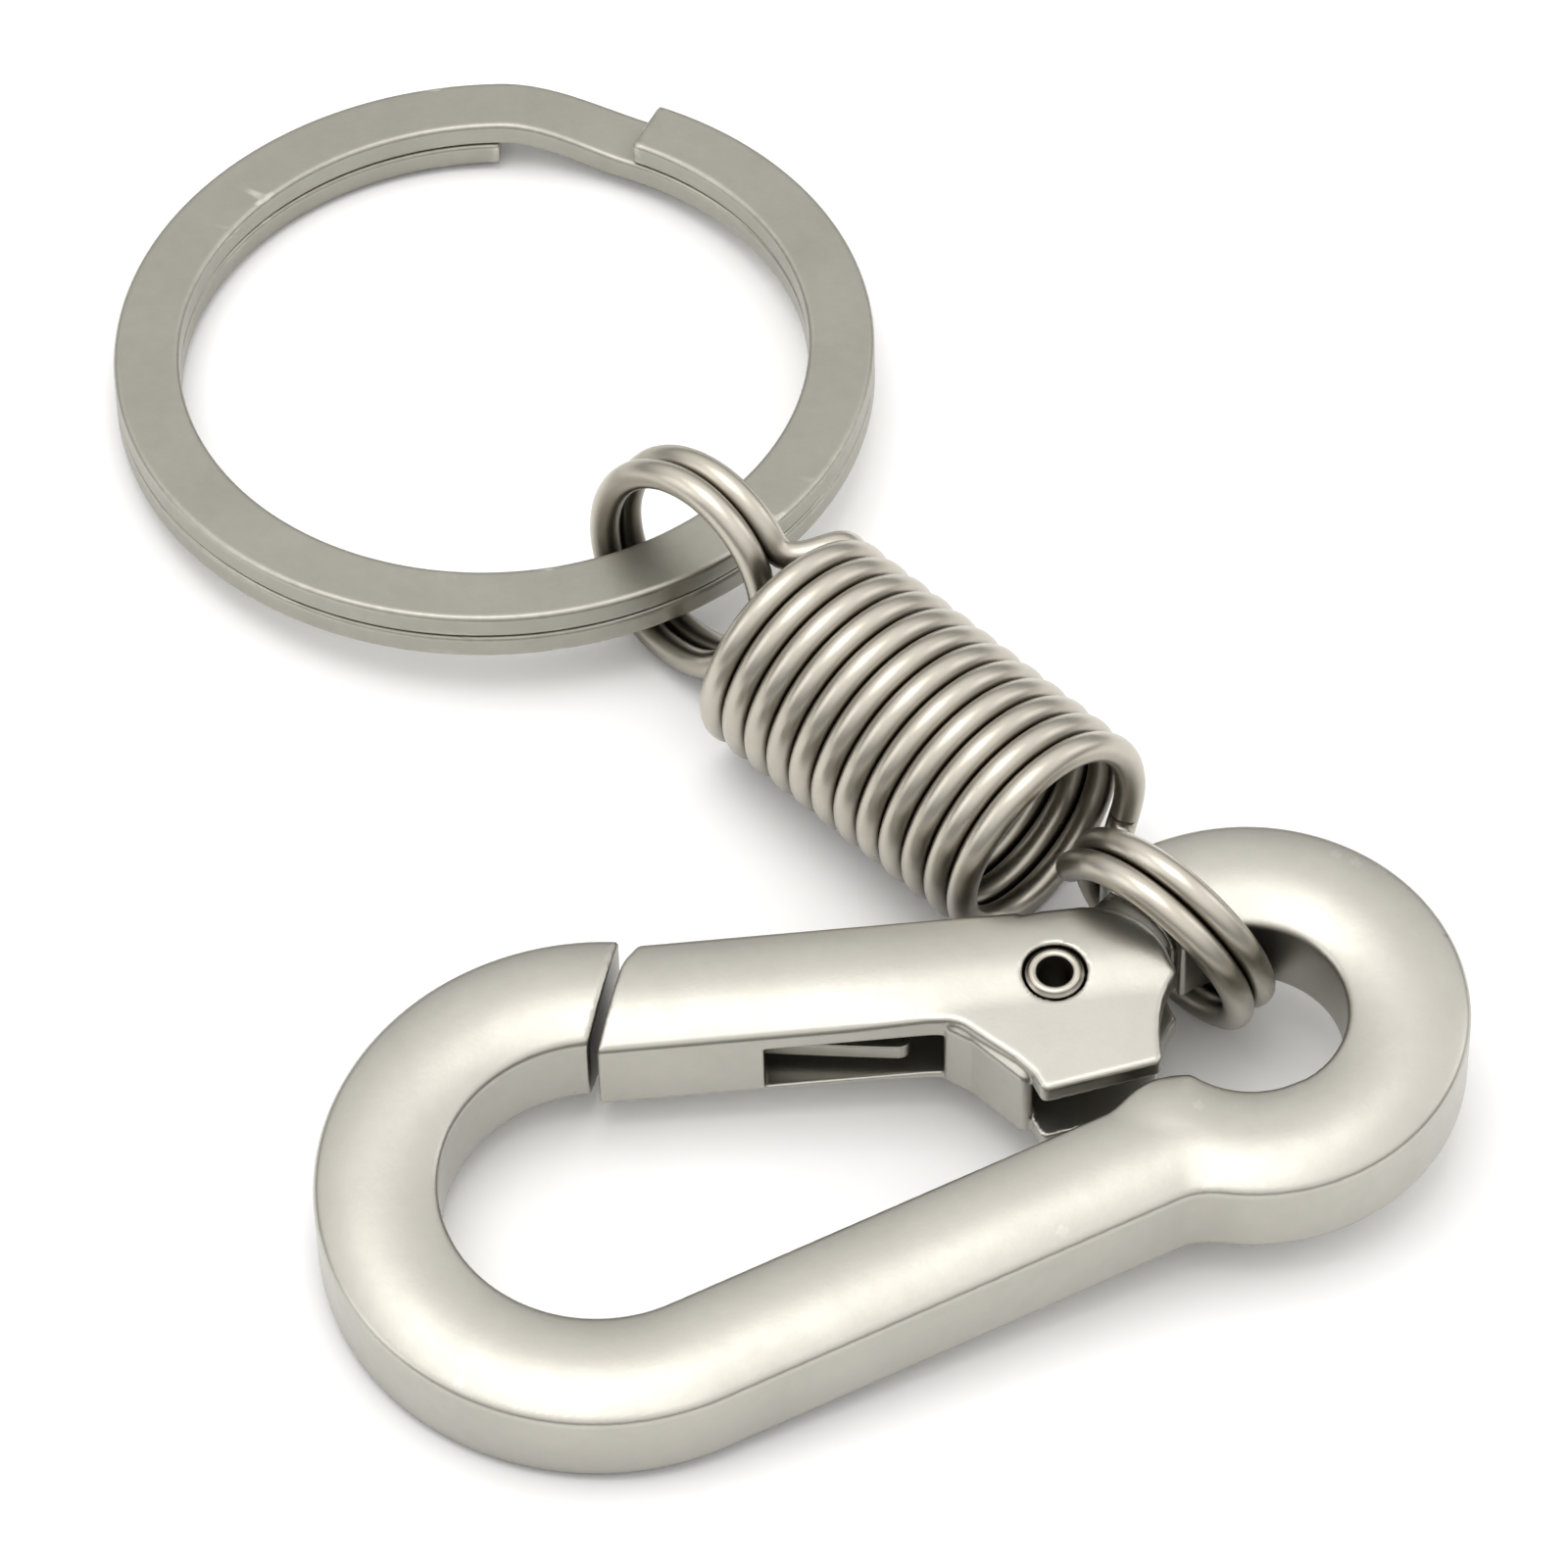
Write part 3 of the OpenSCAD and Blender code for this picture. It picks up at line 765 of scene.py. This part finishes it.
    def gate_solid(self, p: Array) -> Array:
        """Signed distance of the gate, with the rivet at the origin, +X to the nose and +Y to the inside."""
        x, y, z = p.T
        half = (self.gate_in - self.gate_out) / 2
        mid = (self.gate_in + self.gate_out) / 2
        a = math.radians(self.gate_dir)
        hx = self.pivot[0] + x * math.cos(a) - y * math.sin(a)
        hy = self.pivot[1] + x * math.sin(a) + y * math.cos(a)
        nose = math.radians(self.nose_heading)
        past_nose = (hx - self.nose_at[0]) * math.cos(nose) + (hy - self.nose_at[1]) * math.sin(nose)
        bar = np.maximum(np.abs(y - mid) - half, 1.0 - x)
        plan = smooth_min(bar, to_outline(x, y, self.cheek_outline()), 0.25)
        outer, inner = np.clip((mid - y) / half, 0, 1), np.clip((y - mid) / half, 0, 1)
        bar_share = smooth_step((x - 3.0) / 5.5)
        fall = self.rise * (outer**2 + bar_share * inner**2)
        fall = fall + (1 - bar_share) * self.drop * smooth_step(1.1 * inner)
        cap = np.abs(z - self.thick / 2) - (self.thick / 2 - fall)
        body = smooth_max(plan, 0.94 * cap, self.crease)
        body = smooth_max(body, self.nose_gap - past_nose, 0.15)
        notch = (x - self.notch_at[0]) * self.notch_dir[0] + (y - self.notch_at[1]) * self.notch_dir[1]
        body = smooth_max(body, notch, 0.1)
        slot = smooth_step((x - 2.4) / 1.6)
        low, high = self.drop + self.cheek - 0.42 * slot, self.thick - self.drop - self.cheek - 0.2 * slot
        channel = np.maximum(np.maximum(low - z, z - high), x - self.slot_end)
        channel = np.maximum(channel, np.minimum(self.gate_out + self.wall - y, x - 0.9))
        body = smooth_max(body, -channel, 0.08)
        elbow = np.array([3.15, 2.2])
        web = np.minimum(to_segment(x, y, np.array([4.0, 1.6]), elbow),
                         to_segment(x, y, elbow, np.array([1.55, 4.0]))) - 0.3
        body = smooth_min(body, smooth_max(web, between(z, 0.18, 3.95), 0.3), 0.1)
        out = np.hypot(x, y)
        body = smooth_max(body, self.rivet_r + 0.06 - out, 0.05)
        sunk = np.maximum(out - self.rivet_r - 0.22, 1.65 - np.abs(z - self.thick / 2))
        return smooth_max(body, -sunk, 0.05)

    def build_frame(self) -> bpy.types.Object:
        """Meshes the frame."""
        reach = self.big_r + self.bar
        low = [-self.span - reach - 0.5, -reach - 0.5, -0.3]
        high = [self.eye_r + self.bar + 0.5, reach + 0.5, self.thick + 0.3]
        points, faces = net(self.frame_solid, low, high, self.mesh_step)
        piece = new_piece("hook_frame_casting", self.pose.place(points), faces.tolist())
        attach(piece, Body.ROOT.value)
        return piece

    def gate_pose(self) -> Pose:
        """The gate's frame: the hook's, moved to the rivet and turned to the nose."""
        turn = self.pose.turn @ turn_z(self.gate_dir)
        return Pose(turn, self.pose.place(np.array([*self.pivot, 0.0])))

    def build_gate(self) -> bpy.types.Object:
        """Meshes the gate."""
        low, high = [-5.5, -3.6, -0.3], [18.2, 5.6, self.thick + 0.3]
        points, faces = net(self.gate_solid, low, high, self.gate_step)
        piece = new_piece("gate_channel", self.gate_pose().place(points), faces.tolist())
        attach(piece, Body.GATE.value)
        return piece

    def build_rivet(self) -> bpy.types.Object:
        """The tubular rivet: a closed wall profile, with flared and rolled lips, turned about its axis."""
        top, flare = self.thick - 0.1, 0.13
        s = np.linspace(0, 1, 7)
        lip = np.stack([self.rivet_r + flare * np.sin(np.pi * s * 0.9), np.full(7, 0.0)], -1)
        lip[:, 1] = top - 0.28 + 0.28 * s
        roll = np.radians(np.linspace(0, 180, 9))
        wall = (self.rivet_r - self.bore_r) / 2
        crown = np.stack([self.bore_r + wall + wall * np.cos(roll), top + 0.6 * wall * np.sin(roll)], -1)
        outer = np.vstack([[[self.rivet_r, self.thick / 2]], [[self.rivet_r, top - 0.3]], lip[1:-1], crown])
        inner = np.array([[0.66, top - 0.3], [0.66, self.thick / 2]])
        upper = np.vstack([outer, inner])
        lower = np.stack([upper[::-1, 0], self.thick - upper[::-1, 1]], -1)
        profile = np.vstack([upper, lower[1:-1]])
        turns = np.radians(np.linspace(0, 360, 49))[:-1]
        ring = np.stack([np.outer(np.cos(turns), profile[:, 0]), np.outer(np.sin(turns), profile[:, 0]),
                         np.tile(profile[:, 1], (len(turns), 1))], -1).reshape(-1, 3)
        n, m = len(profile), len(turns)
        i, k = np.meshgrid(np.arange(m), np.arange(n), indexing="ij")
        here, after = i * n, (i + 1) % m * n
        faces = np.stack([here + k, here + (k + 1) % n, after + (k + 1) % n, after + k], -1)
        faces = faces.reshape(-1, 4)[:, ::-1]
        points = self.pose.place(ring + np.array([*self.pivot, 0.0]))
        piece = new_piece("rivet_tube", points, faces.tolist())
        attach(piece, Body.ROOT.value)
        return piece

    def build_leaf(self) -> bpy.types.Object:
        """The leaf spring: a thin eased strip carried along its bent line, with a curled free end."""
        s = np.linspace(0, 1, 40)
        x = 12.2 - 6.3 * s
        line = np.stack([x, 0.15 + 1.0 * s - 0.05 * s**4, np.full_like(x, self.leaf_z)], -1)
        t = np.radians(np.linspace(84, 230, 12))
        curl = np.stack([5.87 + 0.3 * np.cos(t), 0.79 + 0.3 * np.sin(t), np.full_like(t, self.leaf_z)], -1)
        path = np.vstack([line, curl])
        section = eased_rectangle(self.leaf_thick, self.leaf_width, 0.08)
        heading = unit(np.gradient(path, axis=0))
        side = np.cross(heading, [0.0, 0.0, 1.0])
        faces, points = sweep(path, side, section)
        piece = new_piece("leaf_strip", self.gate_pose().place(points), faces)
        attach(piece, Body.GATE.value)
        return piece


# ---------------------------------------------------------------- the spring link


@dataclass
class Link:
    """The wire link: a close-wound coil with a double loop at each end, in the coil's own frame.

    +X runs along the coil to the hook, and z is up from the coil's axis.

    Args:
        wire, coil_r, pitch, turns: the wire's diameter, and the coil's mean radius, pitch and turns.
        last_dir, opening: the angle at which the coil ends, and how far its hook end stands open.
        sides: points round the wire.
        hook_reach, hook_side, hook_r, hook_twist: the hook's loop: its centre, mean radius and twist.
        ring_reach, ring_r, ring_twist: the same for the ring's loop.
        loop_first, loop_last: the angles between which a loop is wound.
        pull: how far the bend from the coil to a loop follows each of them.
    """

    wire: float = 1.17
    coil_r: float = 4.19
    pitch: float = 1.187
    turns: float = 12.122
    last_dir: float = 112.0
    opening: float = 0.22
    sides: int = 18
    hook_reach: float = 12.9945
    hook_side: float = 0.2
    hook_r: float = 4.12
    hook_twist: float = 13.5
    ring_reach: float = 12.0445
    ring_r: float = 4.0
    ring_twist: float = 6.4
    loop_first: float = 42.0
    loop_last: float = 694.0
    pull: float = 1.6
    pose: Pose = field(init=False)

    def __post_init__(self) -> None:
        """Finds the coil's frame: its axis from the stretch joint, its place from the hook's loop."""
        x = -joint_axis("coil_stretch")
        turn = np.stack([x, np.cross([0.0, 0.0, 1.0], x), [0.0, 0.0, 1.0]], -1)
        loop = np.array([self.hook_reach, self.hook_side, 0.0])
        self.pose = Pose(turn, joint_point("link_swing") - turn @ loop)

    def coil_at(self, a: Array) -> Array:
        """Points of the coil at angles in degrees from +Z towards +Y: x grows by the pitch each turn, and
        the last 100 degrees at the hook's end open out by a smooth step."""
        half = self.turns * self.pitch / 2
        x = self.pitch * (a - self.last_dir) / 360 + half
        x = x + self.opening * smooth_step((a - self.last_dir + 100) / 100)
        t = np.radians(a)
        return np.stack([x, self.coil_r * np.sin(t), self.coil_r * np.cos(t)], -1)

    def loop_at(self, w: Array, centre: Array, radius: float, twist: float) -> Array:
        """Points of a double loop: from the back at w = 0, down, and round the tip, half a pitch aside each
        half turn, in a plane twisted from upright."""
        t = math.radians(twist)
        side = np.array([0, math.cos(t), math.sin(t)])
        up = np.array([0, -math.sin(t), math.cos(t)])
        a = np.radians(w)[:, None]
        return (centre + radius * (-np.cos(a) * np.array([1.0, 0, 0]) - np.sin(a) * up)
                + self.pitch / 2 * (360 - w)[:, None] / 180 * side)

    def loop_path(self, reach: float, aside: float, radius: float, twist: float,
                  opened: float) -> tuple[Array, Array]:
        """The wire from the coil's hook end to the loop's cut end.

        Args:
            reach: the loop centre's distance from the coil's middle.
            aside: its sideways set.
            radius: the loop's mean radius.
            twist: its twist in degrees.
            opened: how far the coil's end stands open.

        Returns:
            The path, and a side direction at each of its points.
        """
        t = math.radians(twist)
        start = self.coil_at(np.array([self.last_dir - 0.5, self.last_dir]))
        start = start - np.array([self.opening - opened, 0, 0])
        w = np.arange(self.loop_first, self.loop_last + 1, 4.0)
        loop = self.loop_at(w, np.array([reach, aside, 0.0]), radius, twist)
        p, q = start[1], loop[0]
        tp, tq = unit(start[1] - start[0]), unit(loop[1] - loop[0])
        s = np.linspace(0, 1, 26)[1:-1, None]
        bend = ((1 - s) ** 3 * p + 3 * (1 - s) ** 2 * s * (p + self.pull * tp)
                + 3 * (1 - s) * s**2 * (q - self.pull * tq) + s**3 * q)
        path = np.vstack([p, p + 0.02 * tp, bend, loop])
        share = np.clip(np.arange(len(path)) / (len(bend) + 2), 0, 1)[:, None]
        normal = np.array([0, math.cos(t), math.sin(t)])
        return path, (1 - share) * np.array([1.0, 0, 0]) + share * normal

    def tube(self, name: str, path: Array, side: Array, body: Body | None,
             cut_last: bool) -> bpy.types.Object:
        """Sweeps the round wire along a path and makes the piece.

        Args:
            name: the piece's name.
            path: its line in the coil's frame.
            side: a side direction at each point.
            body: what it rides on, or None to leave it on no body.
            cut_last: whether its last end is a cut end, which gets an eased edge.

        Returns:
            The piece.
        """
        scale = np.ones(len(path))
        if cut_last:
            path = np.vstack([path, path[-1] + 0.08 * unit(path[-1] - path[-2])])
            side = np.vstack([side, side[-1:]])
            scale = np.append(scale, 0.86)
        faces, points = sweep(path, side, round_section(self.wire / 2, self.sides), scale)
        piece = new_piece(name, self.pose.place(points), faces, sweep_uv(path, self.sides))
        if body is not None:
            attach(piece, body.value)
        return piece

    def build_coil(self) -> bpy.types.Object:
        """The coil, which lies between its two loops."""
        count = int(self.turns * 56)
        a = self.last_dir - 360 * self.turns * (1 - np.linspace(0, 1, count))
        a = np.concatenate([a[:1], a[:1] + 0.5, a[1:-1], a[-1:] - 0.5, a[-1:]])
        path = self.coil_at(a)
        side = np.tile([1.0, 0.0, 0.0], (len(path), 1))
        piece = self.tube("coil_wire", path, side, None, False)
        half = self.turns * self.pitch / 2
        start, end = self.pose.place(np.array([[half, 0, 0], [-half, 0, 0]])) * MM
        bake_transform(piece)
        return piece

    def build_hook_loop(self) -> bpy.types.Object:
        """The double loop that holds the hook's eye."""
        path, side = self.loop_path(self.hook_reach, self.hook_side, self.hook_r, self.hook_twist,
                                    self.opening)
        return self.tube("hook_loop_wire", path, side, Body.HOOK_LOOP, True)

    def build_ring_loop(self) -> bpy.types.Object:
        """The double loop that holds the split ring: the hook's end turned half over about Y."""
        path, side = self.loop_path(self.ring_reach, 0.0, self.ring_r, self.ring_twist, 0.0)
        half_over = np.array([-1.0, 1.0, -1.0])
        return self.tube("ring_loop_wire", path * half_over, side * half_over, Body.RING_LOOP, True)


# ---------------------------------------------------------------- the split ring


@dataclass
class SplitRing:
    """The split ring: one strip wound 1.93 turns, in its own flat frame.

    Args:
        outer, width, layer, gap, eased: its diameter, the strip's section, the gap between its layers, and
            the strip's edge rounding.
        lower_tip, upper_tip: the angles of its two ends, in degrees.
        ramp_from, ramp_to: the angles between which it climbs from the lower layer to the upper one.
    """

    outer: float = 30.0
    width: float = 2.6
    layer: float = 1.04
    gap: float = 0.05
    eased: float = 0.2
    lower_tip: float = 92.5
    ramp_from: float = 428.0
    ramp_to: float = 452.0
    upper_tip: float = 787.0
    pose: Pose = field(init=False)

    def __post_init__(self) -> None:
        """Finds the ring's frame: its middle is the turning joint's point, less half the stack's height."""
        turn = tilt_to(joint_axis("ring_turn"))
        self.pose = Pose(turn, joint_point("ring_turn") - np.array([0, 0, self.layer + self.gap / 2]))

    def build(self) -> bpy.types.Object:
        """Carries the eased strip round: it steps up by one layer over the ramp, and its ends are eased."""
        a = np.arange(self.lower_tip, self.upper_tip + 0.01, 1.25)
        a = np.concatenate([[a[0] - 0.25], a, [a[-1] + 0.25]])
        f = smooth_step((a - self.ramp_from) / (self.ramp_to - self.ramp_from))
        z = (self.layer + self.gap) * f + self.layer / 2
        r = self.outer / 2 - self.width / 2
        t = np.radians(a)
        path = np.stack([r * np.cos(t), r * np.sin(t), z], -1)
        section = eased_rectangle(self.layer, self.width, self.eased)
        up = np.tile([0.0, 0.0, 1.0], (len(t), 1))
        scale = np.ones(len(t))
        scale[[0, -1]] = 0.92
        faces, points = sweep(path, up, section, scale)
        piece = new_piece("split_ring_strip", self.pose.place(points), faces)
        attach(piece, Body.SPLIT_RING.value)
        return piece


# ---------------------------------------------------------------- the set


@dataclass
class Studio:
    """The plain white table, the soft lights and the camera.

    Args:
        aim, distance, elevation, roll, lens: the camera's aim point and distance in millimetres, its angles
            in degrees and its focal length in millimetres.
        table: the table's half width in metres.
        sky_light: the strength of the sky.
    """

    aim: tuple[float, float, float] = (0.544, -0.465, 0.0)
    distance: float = 377.03
    elevation: float = 51.338
    roll: float = -2.431
    lens: float = 225.0
    table: float = 3.0
    sky_light: float = 1.37

    def build_floor(self) -> None:
        """A wide pale floor that catches soft shadows."""
        size = self.table
        mesh = bpy.data.meshes.new("table_top")
        corners = [(-size, -size, 0), (size, -size, 0), (size, size, 0), (-size, size, 0)]
        mesh.from_pydata(corners, [], [(0, 1, 2, 3)])
        floor = bpy.data.objects.new("table_top", mesh)
        bpy.context.scene.collection.objects.link(floor)
        paint = bpy.data.materials.new("white_paper")
        paint.use_nodes = True
        shader = paint.node_tree.nodes["Principled BSDF"]
        shader.inputs["Base Color"].default_value = (0.96, 0.96, 0.96, 1)
        shader.inputs["Roughness"].default_value = 0.9
        mesh.materials.append(paint)

    def add_light(self, name: str, place: tuple[float, float, float], size: tuple[float, float],
                  power: float) -> None:
        """A soft rectangular light aimed at the object.

        Args:
            name: the light's name.
            place: where it stands, in metres.
            size: its width and height in metres.
            power: its power in watts.
        """
        data = bpy.data.lights.new(name, "AREA")
        data.shape = "RECTANGLE"
        data.size, data.size_y = size
        data.energy = power
        lamp = bpy.data.objects.new(name, data)
        lamp.location = place
        lamp.rotation_euler = (-Vector(place)).to_track_quat("-Z", "Y").to_euler()
        bpy.context.scene.collection.objects.link(lamp)

    def build_lights(self) -> None:
        """Soft boxes overhead and behind, over a sky that is bright above and greyer at the horizon."""
        self.add_light("top_box", (-0.10, 0.01, 0.62), (0.40, 0.40), 0.95)
        self.add_light("left_box", (-0.62, -0.15, 0.30), (0.35, 0.5), 0.6)
        self.add_light("right_box", (0.62, 0.25, 0.34), (0.3, 0.5), 0.42)
        world = bpy.data.worlds.new("sky")
        bpy.context.scene.world = world
        world.use_nodes = True
        tree = world.node_tree
        back = tree.nodes["Background"]
        place = node(tree, "TexCoord")
        split = node(tree, "SeparateXYZ")
        ramp = node(tree, "ValToRGB")
        stops = ramp.color_ramp.elements
        stops[0].position, stops[0].color = 0.0, (0.17, 0.165, 0.155, 1)
        stops[1].position, stops[1].color = 0.85, (1.0, 0.995, 0.98, 1)
        for height, value in ((0.25, 0.28), (0.6, 0.86)):
            stops.new(height).color = (value, 0.995 * value, 0.98 * value, 1)
        tree.links.new(place.outputs["Generated"], split.inputs[0])
        tree.links.new(split.outputs["Z"], ramp.inputs["Fac"])
        tree.links.new(ramp.outputs["Color"], back.inputs["Color"])
        back.inputs["Strength"].default_value = self.sky_light

    def build_camera(self) -> None:
        """A long lens that looks down at the object's middle along +Y, with a slight roll."""
        e, r = math.radians(self.elevation), math.radians(self.roll)
        look = np.array([0, math.cos(e), -math.sin(e)])
        right, up = np.array([1.0, 0, 0]), np.array([0, math.sin(e), math.cos(e)])
        x = right * math.cos(r) - up * math.sin(r)
        y = right * math.sin(r) + up * math.cos(r)
        place = np.array(self.aim) - self.distance * look
        data = bpy.data.cameras.new("camera")
        data.lens = self.lens
        data.sensor_width = 36.0
        camera = bpy.data.objects.new("camera", data)
        turn = Matrix(np.stack([x, y, -look], -1).tolist()).to_4x4()
        camera.matrix_world = Matrix.Translation(place * MM) @ turn
        bpy.context.scene.collection.objects.link(camera)
        bpy.context.scene.camera = camera


def main() -> None:
    """Builds the keyring piece by piece, then the set."""
    logging.basicConfig(level=logging.INFO, format="%(name)s: %(message)s")
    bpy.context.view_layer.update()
    studio = Studio()
    studio.build_camera()
    materials = Finishes().build()
    hook, link, ring = Hook(), Link(), SplitRing()
    dress(hook.build_frame(), materials, Slot.HOOK, "hook_frame")
    dress(hook.build_gate(), materials, Slot.HOOK, "gate")
    dress(hook.build_rivet(), materials, Slot.RIVET, "rivet")
    dress(hook.build_leaf(), materials, Slot.LEAF, "gate_spring")
    dress(link.build_coil(), materials, Slot.WIRE, "spring_coil")
    dress(link.build_hook_loop(), materials, Slot.WIRE, "hook_loop")
    dress(link.build_ring_loop(), materials, Slot.WIRE, "ring_loop")
    dress(ring.build(), materials, Slot.RING, "split_ring")
    studio.build_floor()
    studio.build_lights()
    bpy.context.scene.view_settings.view_transform = "Standard"


if __name__ == "__main__":
    main()
